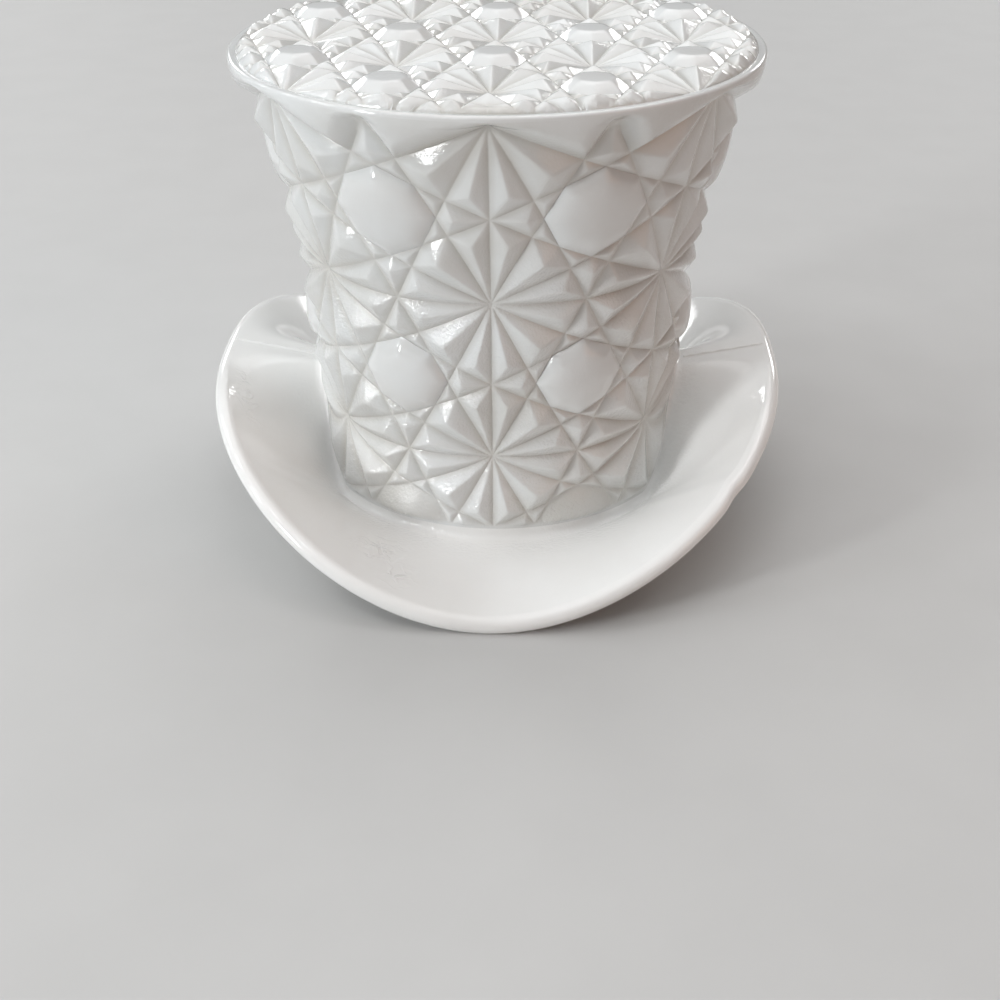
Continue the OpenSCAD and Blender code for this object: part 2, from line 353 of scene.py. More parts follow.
mould_grain = mould_grain_effect()
flow_creases = flow_creases_effect()
uneven_gloss = uneven_gloss_effect()
cloudy_white = cloudy_white_effect()
print("shader groups:", [g.name for g in (mould_grain, flow_creases, uneven_gloss, cloudy_white)])

# %% [markdown]
# The pattern and the brim store marks as attributes, and the glasses read them. The patterned glass
# is darker where it is marked as groove: painted shade in the grooves. Its grain is strong only where
# it is marked as pebbled, so the smoother facets above give crisp glints. The polished glass of buttons
# and rim has hardly any grain. The smooth glass of cove, brim and lip has grain near the crown, and
# creases in places.

# %% Milk glass
GLASS_IOR = 1.58


def use_effect(effect, where, **inputs):
    node = add_node(where.id_data, "ShaderNodeGroup", {"node_tree": effect}, Vector=where, **inputs)
    return node.outputs[0]


def read_mark(tree, name):
    return Amount(add_node(tree, "ShaderNodeAttribute", {"attribute_name": name}).outputs["Fac"])


def milk_glass(name, bright, dim, polished, dull, pebble_scale, patchiness, grain_depth, even_grain=1.0,
               groove_shade=0.0, crease_depth=0.0):
    material = bpy.data.materials.new(name)
    material.use_nodes = True
    tree = material.node_tree
    shader = tree.nodes["Principled BSDF"]
    shader.inputs["IOR"].default_value = GLASS_IOR
    where = add_node(tree, "ShaderNodeTexCoord").outputs["Object"]
    # The groove mark darkens the white in the grooves: painted shade.
    shade = read_mark(tree, "groove") * groove_shade if groove_shade else 0.0
    white = use_effect(cloudy_white, where, Bright=bright, Dim=dim, Shade=shade)
    plug(shader.inputs["Base Color"], white)
    gloss = use_effect(uneven_gloss, where, Polished=polished, Dull=dull)
    plug(shader.inputs["Roughness"], gloss)
    height = Amount(use_effect(mould_grain, where, Pebble_Scale=pebble_scale, Patchiness=patchiness))
    if even_grain < 1:
        height = height * blend_to(even_grain, 1.0, read_mark(tree, "pebbled"))
    if crease_depth:
        creases = Amount(use_effect(flow_creases, where, Mask=read_mark(tree, "creased")))
        height = height + creases * (crease_depth / grain_depth)
    bump = add_node(tree, "ShaderNodeBump", Strength=1.0, Distance=grain_depth, Height=height)
    plug(shader.inputs["Normal"], bump.outputs[0])
    return material


# The patterned glass is darkened where the groove mark lies: painted shade in the grooves.
patterned_glass = milk_glass(
    "patterned_milk_glass", bright=(0.79, 0.805, 0.805, 1), dim=(0.64, 0.63, 0.6, 1),
    polished=0.05, dull=0.1, pebble_scale=2500.0, patchiness=0.4, grain_depth=0.13 * MM,
    even_grain=0.3, groove_shade=0.6)
polished_glass = milk_glass(
    "polished_milk_glass", bright=(0.79, 0.805, 0.805, 1), dim=(0.73, 0.725, 0.71, 1),
    polished=0.05, dull=0.11, pebble_scale=1500.0, patchiness=0.8, grain_depth=0.025 * MM)
# The smooth glass is the same milk glass as the others, but it gets a lighter white: painted light that
# makes cove, brim and lip brighter than the crown.
smooth_glass = milk_glass(
    "smooth_milk_glass", bright=(0.93, 0.93, 0.92, 1), dim=(0.88, 0.88, 0.865, 1),
    polished=0.04, dull=0.08, pebble_scale=2100.0, patchiness=0.5, grain_depth=0.1 * MM,
    even_grain=0.12, crease_depth=0.08 * MM)
print("materials:", [m.name for m in (patterned_glass, polished_glass, smooth_glass)])

# %% [markdown]
# Every skin is closed in the end, and its faces must point outwards. The sign of the volume shows
# which way they point, so one helper counts it, turns the faces if needed and makes the object.

# %% From points and faces to a finished piece
SHARP_ANGLE = math.radians(60)


def signed_volume(points, faces):
    total = 0.0
    for size in {len(face) for face in faces}:
        corners = points[np.array([face for face in faces if len(face) == size])]
        for k in range(1, size - 1):
            total += np.einsum("ij,ij->i", corners[:, 0], np.cross(corners[:, k], corners[:, k + 1])).sum()
    return total / 6


def hand_over(piece, node):
    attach(piece, "root")
    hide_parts(node)


def closed_piece(name, points, faces, glass, node, marks=None):
    points = np.asarray(points, float)
    volume = signed_volume(points, faces)
    if volume < 0:
        faces = [tuple(reversed(face)) for face in faces]
    mesh = bpy.data.meshes.new(name)
    mesh.from_pydata(points.tolist(), [], [tuple(int(i) for i in face) for face in faces])
    mesh.validate()
    mesh.shade_smooth()
    mesh.set_sharp_from_angle(angle=SHARP_ANGLE)
    for label, values in (marks or {}).items():
        mesh.attributes.new(label, "FLOAT", "POINT").data.foreach_set("value", values.astype(np.float32))
    mesh.materials.append(glass)
    hand_over(add_object(name, mesh), node)
    print(name, len(faces), "faces,", round(abs(volume) * 1e9), "cubic mm")


# %% [markdown]
# ## Brim, lip and cove
# Below the pattern the glass is one smooth skin: a cove leads from the wall into the brim, and the
# brim ends in a round lip. It could be lofted by hand through sections, but its shape follows a
# rule, so a flat grid is bent by it. One direction of the grid goes round the hat. The other goes
# along the section in five parts: down the cove, out over the brim, round the lip, and back under
# brim and cove.

# %% Tree that bends a grid into the brim
SKIN_TURNS = 480
PART_STEPS = 32
SECTION_PARTS = 5
SKIN_LINES = SECTION_PARTS * PART_STEPS + 1
JUST_PAST_LIP = 3.0001
foot_wear = 0.42 * MM
skin_sizes = {**wall_sizes, "Columns": SKIN_TURNS + 1, "Lines": SKIN_LINES, "Half Width": half_w,
              "Half Length": half_l, "Squareness": 2.45, "Thickness": brim_t,
              "Wall Thickness": wall_t, "Cove": cove, "Root Height": root_z,
              "Lip Height": brim_t / 2 - foot_wear, "Side Lift": 18.5 * MM, "Side Curl": 1.77,
              "Lip Dent": 0.3 * MM, "Flow Creases": 0.6 * MM, "Waviness": 0.1 * MM,
              "Fold": 0.12 * MM, "Glass": smooth_glass}
skin_tree, size = new_tree("turned_up_brim", skin_sizes)
grid = add_node(skin_tree, "GeometryNodeMeshGrid", Size_X=1.0, Size_Y=1.0,
                Vertices_X=size["Columns"], Vertices_Y=size["Lines"])
across, along, _ = read_position(skin_tree)
azimuth = (across + 0.5) * math.tau
line = (along + 0.5) * SECTION_PARTS
under = reckon("GREATER_THAN", line, JUST_PAST_LIP)
sine = reckon("SINE", azimuth)
cosine = reckon("COSINE", azimuth)

# %% The rule of the brim: root, lip and the line between them
power = size["Squareness"]
across_share = (abs(sine) / size["Half Width"]) ** power
length_share = (abs(cosine) / size["Half Length"]) ** power
lip_r = (across_share + length_share) ** (-1 / power)
side_reach = lip_r * abs(sine) / size["Half Width"]
lip_z = size["Lip Height"] + size["Side Lift"] * side_reach ** size["Side Curl"]
DENT_AT, DENT_WIDTH = math.radians(45.5), math.radians(2.2)
dent_turn = (azimuth - DENT_AT) / DENT_WIDTH
dent = reckon("EXPONENT", dent_turn * dent_turn * -1.0)
lip_r = lip_r - dent * size["Lip Dent"]
knee_z = size["Root Height"] + root_climb(sine, size)
knee_r = wall_radius(knee_z, size)
half_t = size["Thickness"] * 0.5
run_r = lip_r - knee_r
run_z = lip_z + half_t - knee_z
run = reckon("SQRT", run_r * run_r + run_z * run_z)
out_r = run_r / run
out_z = run_z / run

# %% The rule of the cove and the way along the section
over_cove = ease(line, 0.0, 1.0)
back_cove = 1 - ease(line, 4.0, 5.0)
cove_share = blend_to(over_cove, back_cove, under)
foot_z = knee_z + size["Cove"]
foot_r = wall_radius(foot_z, size)
drop_r = blend_to(knee_r - foot_r, size["Cove"] * out_r, cove_share)
drop_z = blend_to(knee_z - foot_z, size["Cove"] * out_z, cove_share)
drop = reckon("SQRT", drop_r * drop_r + drop_z * drop_z)
cove_out_r = knee_r + size["Cove"] * out_r * cove_share
cove_out_z = knee_z + size["Cove"] * out_z * cove_share
cove_r = blend_to(blend_to(foot_r, knee_r, cove_share), cove_out_r, cove_share)
cove_z = blend_to(blend_to(foot_z, knee_z, cove_share), cove_out_z, cove_share)
depth = blend_to(size["Wall Thickness"], size["Thickness"], cove_share) * under
cove_r = cove_r + depth * drop_z / drop
cove_z = cove_z - depth * drop_r / drop

# %% Brim and lip added to the cove
over_brim = ease(line, 1.0, 2.0)
back_brim = 1 - ease(line, 3.0, 4.0)
brim_share = blend_to(over_brim, back_brim, under)
facing = 1 - under * 2.0
brim_end_r = lip_r - facing * half_t * out_z
brim_end_z = lip_z + facing * half_t * out_r
brim_start_r = knee_r + size["Cove"] * out_r + under * size["Thickness"] * out_z
brim_start_z = knee_z + size["Cove"] * out_z - under * size["Thickness"] * out_r
LIP_BULGE = 0.975
turn = reckon("MINIMUM", reckon("MAXIMUM", line - 2.0, 0.0), 1.0) * math.pi
lip_out = reckon("SINE", turn) * half_t * LIP_BULGE * (1 - under)
lip_down = (reckon("COSINE", turn) - 1) * half_t * (1 - under)
skin_r = cove_r + (brim_end_r - brim_start_r) * brim_share + lip_out * out_r - lip_down * out_z
skin_z = cove_z + (brim_end_z - brim_start_z) * brim_share + lip_out * out_z + lip_down * out_r

# %% [markdown]
# Hot glass keeps traces of how it flowed. The brim is very slightly wavy, three patches of fine
# creases lie on its left half, and one shallow fold runs out from the crown. All of them fade out
# towards lip and cove. The marks that the glass reads are stored here.

# %% Waves and flow creases, then the tree's end
flat_spot = around(skin_r, sine, cosine, skin_z)
middle = over_brim * (1 - over_brim) * 4 * (1 - under)
wave = waviness(flat_spot, scale=75.0) * size["Waviness"]


def patch(turn_deg, turn_width, share, share_width):
    aside = azimuth - math.radians(turn_deg)
    a = reckon("SINE", aside) / math.radians(turn_width)
    s = (over_brim - share) / share_width
    near = reckon("GREATER_THAN", reckon("COSINE", aside), 0.0)
    return reckon("EXPONENT", (a * a + s * s) * -1.0) * near


def store_mark(geometry, label, value):
    node = add_node(geometry.id_data, "GeometryNodeStoreNamedAttribute", Geometry=geometry, Name=label,
                    Value=value)
    return node.outputs[0]


FOLD_AT, FOLD_SLANT, FOLD_WIDTH = math.radians(360 - 43), math.radians(19), math.radians(0.8)
creased = patch(-24, 4.5, 0.5, 0.2) + patch(-17, 2.5, 0.78, 0.14) + patch(-70, 7, 0.8, 0.12)
crease = waviness(flat_spot, scale=520.0, detail=2.0) * size["Flow Creases"] * creased
fold_turn = (azimuth - FOLD_AT - over_brim * FOLD_SLANT) / FOLD_WIDTH
fold = reckon("EXPONENT", fold_turn * fold_turn * -1.0) * (1 - ease(over_brim, 0.45, 0.75)) * size["Fold"]
lift = (wave + crease - fold) * middle
skin_r = skin_r - lift * out_z
skin_z = reckon("MAXIMUM", skin_z + lift * out_r, 0.0)
marked = store_mark(grid.outputs[0], "creased", creased * (1 - under))
marked = store_mark(marked, "pebbled", (1 - ease(over_brim, 0.05, 0.4)) * (1 - under))
close_tree(skin_tree, move_points(marked, around(skin_r, sine, cosine, skin_z)), size["Glass"])
print("brim tree:", len(skin_tree.nodes), "nodes")

# %% [markdown]
# The grid is now one skin. It is cut along its lines into the three pieces that the CAD model has,
# and each is closed with the faces that lie inside the glass.

# %% Cut the skin into cove, brim and lip
skin = grow("skin_sheet", skin_tree, skin_sizes)
SHEET_SHAPE = (SKIN_TURNS + 1, SKIN_LINES)
sheet = np.array([v.co for v in skin.data.vertices]).reshape(*SHEET_SHAPE, 3)
sheet = sheet[:SKIN_TURNS].transpose(1, 0, 2)


def read_values(mesh, label):
    values = np.zeros(len(mesh.vertices))
    mesh.attributes[label].data.foreach_get("value", values)
    return values


def sheet_mark(label):
    return read_values(skin.data, label).reshape(SHEET_SHAPE)[:SKIN_TURNS].T


sheet_marks = {label: sheet_mark(label) for label in ("creased", "pebbled")}
bpy.data.objects.remove(skin)


def ring_faces(rings, steps):
    faces = []
    for k in range(rings):
        low = k * steps
        high = (k + 1) % rings * steps
        faces += [(low + i, low + (i + 1) % steps, high + (i + 1) % steps, high + i) for i in range(steps)]
    return faces


def part_lines(*parts):
    return [part * PART_STEPS + k for part in parts for k in range(PART_STEPS + 1)]


def ring_piece(name, lines, node):
    points = sheet[lines].reshape(-1, 3)
    marks = {label: values[lines].reshape(-1) for label, values in sheet_marks.items()}
    closed_piece(name, points, ring_faces(len(lines), SKIN_TURNS), smooth_glass, node, marks)


ring_piece("cove_skin", part_lines(0, 4), "crown_cove")
ring_piece("brim_skin", part_lines(1, 3), "brim")
ring_piece("lip_roll", part_lines(2), "brim_lip")

# %% [markdown]
# Where the two halves of the mould met, a hair of glass was squeezed out. It shows as a thin raised
# line across the brim on each side. The line follows the brim's own points, with a round back.

# %% Mould seams
SEAM_EDGE = 9


def seam_strip(column, width, height):
    path = sheet[part_lines(1), column]
    sideways = np.array([0.0, 1.0, 0.0])
    along_path = np.gradient(path, axis=0)
    upward = np.cross(along_path, sideways)
    upward /= np.linalg.norm(upward, axis=1)[:, None]
    upward *= np.sign(upward[:, 2:3])
    steps = np.arange(PART_STEPS + 1)
    ends = np.minimum(1, np.minimum(steps, steps[::-1]) / 2)[:, None]
    swell = 0.8 + 0.2 * np.sin(steps * 1.3)[:, None]
    high = 0.2 + 0.8 * ends * swell
    section = []
    for k in range(SEAM_EDGE):
        aside = k / (SEAM_EDGE - 1) - 0.5
        section.append(path + sideways * (aside * width)
                       + upward * (seat + (0.5 + 0.5 * math.cos(math.tau * aside)) * height * high))
    return np.array(section).transpose(1, 0, 2)


def tube_faces(steps, edge):
    faces = [(i * edge + k, i * edge + (k + 1) % edge, (i + 1) * edge + (k + 1) % edge, (i + 1) * edge + k)
             for i in range(steps - 1) for k in range(edge)]
    last = (steps - 1) * edge
    return faces + [tuple(reversed(range(edge))), tuple(range(last, last + edge))]


seam_points = []
seam_faces = []
for column in (SKIN_TURNS // 4, SKIN_TURNS * 3 // 4):
    strip = seam_strip(column, width=0.7 * MM, height=0.27 * MM)
    points = strip.reshape(-1, 3)
    faces = tube_faces(*strip.shape[:2])
    if signed_volume(points, faces) < 0:
        faces = [face[::-1] for face in faces]
    first = len(seam_points) * len(points)
    seam_faces += [tuple(first + i for i in face) for face in faces]
    seam_points.append(points)
closed_piece("seam_lines", np.vstack(seam_points), seam_faces, smooth_glass, "mould_seams")

# %% [markdown]
# ## The daisy-and-button pattern
# The pattern imitates cut glass. Straight V grooves run along the lines of a square lattice and
# along the slanted lines that join its points, and every ridge lies halfway between grooves.
# A tile holds one daisy. It is laid out flat and cut into small triangles that crowd along grooves
# and ridges, where the form turns. The relief is added later by rule, so one tile serves everywhere.

# %% Corners and facets of the tile
BUTTON_REACH = math.sqrt(0.05)
heart = (0, 0)
star = (1 / 2, 0)
crossing = (2 / 5, 1 / 5)
button_tip = (1 / 2, 1 / 4)
button_corner = (1 / 3, 1 / 3)
button_mid = (1 / 2, 1 / 2)
petal_top = (0.3618, 0.0854)
kite_top = (1 / 4, 1 / 4)
star_top = (1 / 2, 1 / 6)
chip_top = (0.4167, 0.25)
brow_top = (1 / 3, 0)
petal = [(heart, star, petal_top), (star, crossing, petal_top), (heart, petal_top, crossing)]
brow_petal = [(heart, brow_top, crossing), (brow_top, star, crossing)]
beside = [(heart, crossing, kite_top), (crossing, button_corner, kite_top), (star, star_top, crossing),
          (star_top, button_tip, crossing), (crossing, button_tip, chip_top),
          (button_tip, button_corner, chip_top), (button_corner, crossing, chip_top),
          (button_corner, button_tip, button_mid)]


def swapped(facets):
    return [tuple((v, u) for u, v in facet) for facet in facets]


def mirrored(facets, along_sign, across_sign):
    return [tuple((along_sign * u, across_sign * v) for u, v in facet) for facet in facets]


# %% Fine triangles inside each facet
def crowded(share):
    return share * share * (3 - 2 * share)


def fine_facet(corners, steps):
    where = {}
    for i in range(steps + 1):
        for j in range(steps + 1 - i):
            weights = np.array([crowded(i / steps), crowded(j / steps), crowded((steps - i - j) / steps)])
            where[i, j] = weights @ np.array(corners) / weights.sum()
    for i in range(steps):
        for j in range(steps - i):
            yield [where[i, j], where[i + 1, j], where[i, j + 1]]
            if i + j < steps - 1:
                yield [where[i + 1, j], where[i + 1, j + 1], where[i, j + 1]]


def flat_tile(name, facets, steps):
    known = {}
    faces = []
    for facet in facets:
        for triangle in fine_facet(facet, steps):
            (au, av), (bu, bv), (cu, cv) = triangle
            if (bu - au) * (cv - av) < (bv - av) * (cu - au):
                triangle = triangle[::-1]
            keys = [tuple(np.round(p, 6) + 0.0) for p in triangle]
            faces.append([known.setdefault(key, len(known)) for key in keys])
    mesh = bpy.data.meshes.new(name)
    mesh.from_pydata([(u, v, 0) for u, v in known], [], faces)
    print(name, len(faces), "triangles")
    return add_object(name, mesh)


TILE_STEPS = 8
quarter = petal + beside + swapped(petal + beside)
whole_daisy = [facet for su in (-1, 1) for sv in (-1, 1) for facet in mirrored(quarter, su, sv)]
daisy_tile = flat_tile("daisy_tile", whole_daisy, TILE_STEPS)

# %% [markdown]
# Under the rim the pattern is cut off at half a daisy. No groove runs along that line, so its petals
# rise to smooth brows, and a narrow band leads from the brows up to the crown's edge.

# %% Tile of the half daisies under the rim
band = 0.08
BAND_LINES = 10
brow_quarter = brow_petal + beside + swapped(petal + beside)
brow_facets = [facet for su in (-1, 1) for facet in mirrored(brow_quarter, su, 1)]
brow_tile = flat_tile("brow_tile", brow_facets, TILE_STEPS)


def add_band(tile, height, lines):
    points = [tuple(v.co) for v in tile.data.vertices]
    faces = [tuple(p.vertices) for p in tile.data.polygons]
    edge = sorted((i for i, p in enumerate(points) if abs(p[1]) < 1e-7), key=lambda i: points[i][0])
    below = edge
    for k in range(1, lines + 1):
        above = list(range(len(points), len(points) + len(edge)))
        points += [(points[i][0], -height * k / lines, 0) for i in edge]
        faces += [(below[i + 1], below[i], above[i], above[i + 1]) for i in range(len(edge) - 1)]
        below = above
    tile.data.clear_geometry()
    tile.data.from_pydata(points, [], faces)


add_band(brow_tile, band, BAND_LINES)
print("brow tile with its band:", len(brow_tile.data.polygons), "faces")

# %% [markdown]
# The height of the pattern over its groove floors is the distance to the nearest groove line. A plain
# minimum would give knife-sharp ridges, and pressed glass never fills its mould so far, so the
# minimum is a smooth one. Each daisy's heart sinks to a pit. Wall and top share this rule as a group.

# %% Group that gives the relief of a lattice point
KITE_RISE = 0.1118
BUTTON_EDGE = 0.4999
PIT_REACH = 0.45
relief_tree = bpy.data.node_groups.new("daisy_relief", "GeometryNodeTree")
add_sockets(relief_tree, "INPUT", dict.fromkeys(("Along", "Across", "First Line", "Softness"), NUMBER))
add_sockets(relief_tree, "OUTPUT", dict.fromkeys(("Rise", "Pit", "Button"), NUMBER))
entry = relief_tree.nodes.new("NodeGroupInput")
end = relief_tree.nodes.new("NodeGroupOutput")
u, v, first_line, softness = [Amount(entry.outputs[k]) for k in range(4)]


def off_line(value):
    return abs(value - reckon("ROUND", value))


gaps = [off_line(u), abs(v - reckon("MAXIMUM", reckon("ROUND", v), first_line))]
gaps += [off_line(slant) / math.sqrt(5) for slant in (v * 2 + u, v * 2 - u, u * 2 + v, u * 2 - v)]
rise = gaps[0]
for gap in gaps[1:]:
    rise = reckon("SMOOTH_MIN", rise, gap, softness)
cell_u = abs(u - reckon("FLOOR", u) - 0.5)
cell_v = abs(v - reckon("FLOOR", v) - 0.5)
octagon = reckon("MAXIMUM", cell_u * 2 + cell_v, cell_u + cell_v * 2)
outside = reckon("GREATER_THAN", octagon, BUTTON_EDGE)
dome = reckon("MAXIMUM", 1 - (cell_u * cell_u + cell_v * cell_v) / BUTTON_REACH ** 2, 0.0)
heart_u = off_line(u)
heart_v = off_line(v)
from_heart = reckon("SQRT", heart_u * heart_u + heart_v * heart_v)
plug(end.inputs["Rise"], rise * outside)
plug(end.inputs["Pit"], reckon("MAXIMUM", 1 - from_heart / PIT_REACH, 0.0))
plug(end.inputs["Button"], dome * (1 - outside))


def relief_of(tree, along, across, first, softness):
    node = add_node(tree, "GeometryNodeGroup", {"node_tree": relief_tree}, Along=along, Across=across,
                    First_Line=first, Softness=softness)
    return [Amount(socket) for socket in node.outputs]


print("relief group:", len(relief_tree.nodes), "nodes")

# %% [markdown]
# ## The crown's wall
# Instances of the tile fill the flat pattern: six columns of two whole daisies, and six halves above.
# The flat sheet is then bent round the crown by the same rule that the CAD model uses. The columns
# are drawn a little towards front and back, the rows get shorter downwards, and at the sides the
# lowest row gives way to the rising brim.

# %% Tree that lays the tiles and bends them round the crown
pattern_sizes = {**wall_sizes, "Relief": wall_relief, "Wall Top": wall_top_z,
                 "Pattern Foot": root_z + cove + 0.2 * MM, "Row Taper": 0.115,
                 "Column Draw": math.radians(4.4)}


def bend_round_wall(size, along, across):
    low = reckon("MAXIMUM", across, 0.0)
    turn = along * (math.tau / columns)
    turn = turn - size["Column Draw"] * reckon("SINE", turn * 2)
    sine = reckon("SINE", turn)
    cosine = reckon("COSINE", turn)
    climb = root_climb(sine, size)
    share = low / rows
    share = share * (1 + size["Row Taper"] * (1 - share))
    gives = ease(low, rows - 1, rows)
    z = blend_to(size["Wall Top"], size["Pattern Foot"], share) + climb * gives
    fade = 1 - gives * climb / size["Root Lift"]
    return z, fade, sine, cosine, low


def wall_lattice(tree, middle):
    grid = add_node(tree, "GeometryNodeMeshGrid", Size_X=columns - 1.0, Size_Y=1.0,
                    Vertices_X=columns, Vertices_Y=2)
    moved = add_node(tree, "GeometryNodeTransform", Geometry=grid.outputs[0], Translation=middle)
    return moved.outputs[0]


wall_tree_sizes = {**pattern_sizes, "Pit Depth": wall_pit, "Softness": 0.03, "Daisy": daisy_tile,
                   "Half Daisy": brow_tile, "Rim Height": rim_z, "Rim Radius": top_edge_r,
                   "Brow": 2.3 * MM, "Mould Wear": 0.07 * MM, "Glass": patterned_glass}
wall_tree, size = new_tree("daisy_wall", wall_tree_sizes)
whole_rows = wall_lattice(wall_tree, ((columns - 1) / 2, 1.5, 0))
half_row = add_node(wall_tree, "GeometryNodeMeshLine", Count=columns, Offset=(1, 0, 0)).outputs[0]
laid = add_node(wall_tree, "GeometryNodeJoinGeometry")
for points, tile in ((half_row, "Half Daisy"), (whole_rows, "Daisy")):
    wall_tree.links.new(lay_copies(points, size[tile]), laid.inputs[0])
flat = add_node(wall_tree, "GeometryNodeMergeByDistance", Geometry=laid.outputs[0], Distance=1e-5)
print("tiles on the wall:", 2 * columns, "whole daisies and", columns, "halves")

# %% [markdown]
# At the foot the relief runs out in a narrow toe, and half a button lies between each two daisies.
# Under the rim the half daisies rise to brows, and the tips of the stars between the brows are filled
# with glass.

# %% Relief, rim and toe of the wall
FOOT_BUTTON = 0.75
FOOT_LINE = 2.2
TOE_WIDTH = 0.045
BROW_STEEPNESS = 2.4
FILL_FROM, FILL_SLOPE, FILL_FALL = 0.055, 17 * MM, 2.5 * MM
GROOVE_WIDTH = 0.035
WEAR_SCALE = 260.0
along, across, _ = read_position(wall_tree)
z, fade, sine, cosine, low = bend_round_wall(size, along, across)
rise, pit, button = relief_of(wall_tree, along, low, 1.0, size["Softness"])
toe = 1 - ease(low, rows - TOE_WIDTH, rows)
at_foot = reckon("GREATER_THAN", low, FOOT_LINE)
height = size["Relief"] * (rise / KITE_RISE + button * FOOT_BUTTON * at_foot)
from_heart = off_line(along)
brow_gap = reckon("MINIMUM", from_heart - across * 2, 1 - from_heart * 2 - across) / math.sqrt(5)
brow_rise = brow_gap * size["Relief"] * (BROW_STEEPNESS / KITE_RISE)
brow = reckon("SMOOTH_MIN", brow_rise, size["Brow"], 1.0 * MM)
height = blend_to(height, brow, reckon("GREATER_THAN", brow_gap, 0.0))
at_star = ease(from_heart, 0.36, 0.5)
filled = (FILL_FROM - across) * FILL_SLOPE - (1 - at_star) * FILL_FALL
height = reckon("SMOOTH_MAX", height, filled, 0.9 * MM)
height = height - size["Pit Depth"] * pit * (0.25 + 0.75 * ease(low, 0.0, 0.5))
band_share = reckon("MAXIMUM", across * -1.0, 0.0) / band
z = z + (size["Rim Height"] - size["Wall Top"]) * band_share
floor_r = wall_radius(z, size)
worn = waviness(around(floor_r, sine, cosine, z), WEAR_SCALE) * size["Mould Wear"] * (1 - band_share) * toe
r = reckon("SMOOTH_MIN", floor_r + height * fade * toe + worn, size["Rim Radius"], 0.5 * MM)
rounded = ease(band_share, 0.7, 1.0)
r = blend_to(r, size["Rim Radius"], rounded)
# The glass reads this groove mark to darken the grooves: painted shade.
groove = 1 - ease(rise, 0.0, GROOVE_WIDTH)
marked = store_mark(flat.outputs[0], "groove", groove * (1 - rounded) * toe)
bent = move_points(marked, around(r, sine, cosine, z))
joined = add_node(wall_tree, "GeometryNodeMergeByDistance", Geometry=bent, Distance=1e-6)
close_tree(wall_tree, joined.outputs[0], size["Glass"])
print("wall tree:", len(wall_tree.nodes), "nodes")

# %% [markdown]
# The tree gives the outer face alone. Its lower border is led down to the cove and up the smooth
# bore that the plunger left, and a hidden ring joins the bore to the crown's edge. The wall's grain
# is marked too: it sets in at the upper row of buttons and grows downwards.

# %% Close the wall
def read_mesh(piece):
    points = np.array([v.co for v in piece.data.vertices])
    faces = [tuple(p.vertices) for p in piece.data.polygons]
    marks = read_values(piece.data, "groove")
    bpy.data.objects.remove(piece)
    return points, faces, marks


def border_edges(faces):
    seen = set()
    for face in faces:
        seen.update(zip(face, face[1:] + face[:1]))
    return [(a, b) for a, b in seen if (b, a) not in seen]


def walk_border(edges):
    follow = dict(edges)
    loop = [edges[0][0]]
    while follow[loop[-1]] != loop[0]:
        loop.append(follow[loop[-1]])
    return loop


def add_rings(points, faces, loop, rings):
    n = len(loop)
    before = np.array(loop)
    for ring in rings:
        here = len(points) + np.arange(n)
        points = np.vstack([points, ring])
        faces += [(before[(k + 1) % n], before[k], here[k], here[(k + 1) % n]) for k in range(n)]
        before = here
    return points, before


def turn_of(points):
    return np.arctan2(points[:, 0], -points[:, 1]) % math.tau


def on_turns(r, turns, z):
    return np.column_stack([r * np.sin(turns), -r * np.cos(turns), z])


def level_ring(r, turns, z):
    return on_turns(r, turns, np.full(len(turns), z))


def ring_at(line, turns):
    ring = sheet[line]
    own = np.arange(SKIN_TURNS + 1) * math.tau / SKIN_TURNS
    r = np.hypot(ring[:, 0], ring[:, 1])
    r = np.interp(turns, own, np.append(r, r[0]))
    z = np.interp(turns, own, np.append(ring[:, 2], ring[0, 2]))
    return on_turns(r, turns, z)


def bore_r(z):
    return wall_radius(z, wall_sizes) - wall_t


def bore_ring(turns, low, share):
    z = low[:, 2] + (rim_z - low[:, 2]) * share
    return on_turns(bore_r(z), turns, z)


HALF_WAY = 40 * MM
GRAIN_FROM = 50 * MM
GRAIN_FADE = 16 * MM
BORE_RINGS = 24
points, faces, marks = read_mesh(grow("wall_sheet", wall_tree, wall_tree_sizes))
pebbled = crowded(np.clip((GRAIN_FROM - points[:, 2]) / GRAIN_FADE, 0, 1))
edges = border_edges(faces)
lower = [(a, b) for a, b in edges if points[a, 2] < HALF_WAY]
upper = [(a, b) for a, b in edges if points[a, 2] >= HALF_WAY]
loop = walk_border(lower)
turns = turn_of(points[loop])
rings = [ring_at(0, turns), ring_at(SKIN_LINES - 1, turns)]
rings += [bore_ring(turns, rings[1], k / BORE_RINGS) for k in range(1, BORE_RINGS + 1)]
points, bore_edge = add_rings(points, faces, loop, rings)
print("wall borders:", len(lower), "points below,", len(upper), "above")

# %% Join the bore to the crown's edge
def by_turn(points, ring):
    turns = turn_of(points[ring])
    order = np.argsort(turns, kind="stable")
    ring = [ring[k] for k in order]
    return ring + ring[:1], np.append(turns[order], math.tau + turns[order[0]])


def zip_rings(points, outer, inner):
    outer, outer_turns = by_turn(points, outer)
    inner, inner_turns = by_turn(points, inner)
    found = []
    i = j = 0
    while i + 1 < len(outer) or j + 1 < len(inner):
        a, b = outer[i], inner[j]
        if j + 1 == len(inner) or (i + 1 < len(outer) and outer_turns[i + 1] <= inner_turns[j + 1]):
            i += 1
            found.append((a, outer[i], b))
        else:
            j += 1
            found.append((a, inner[j], b))
    return found


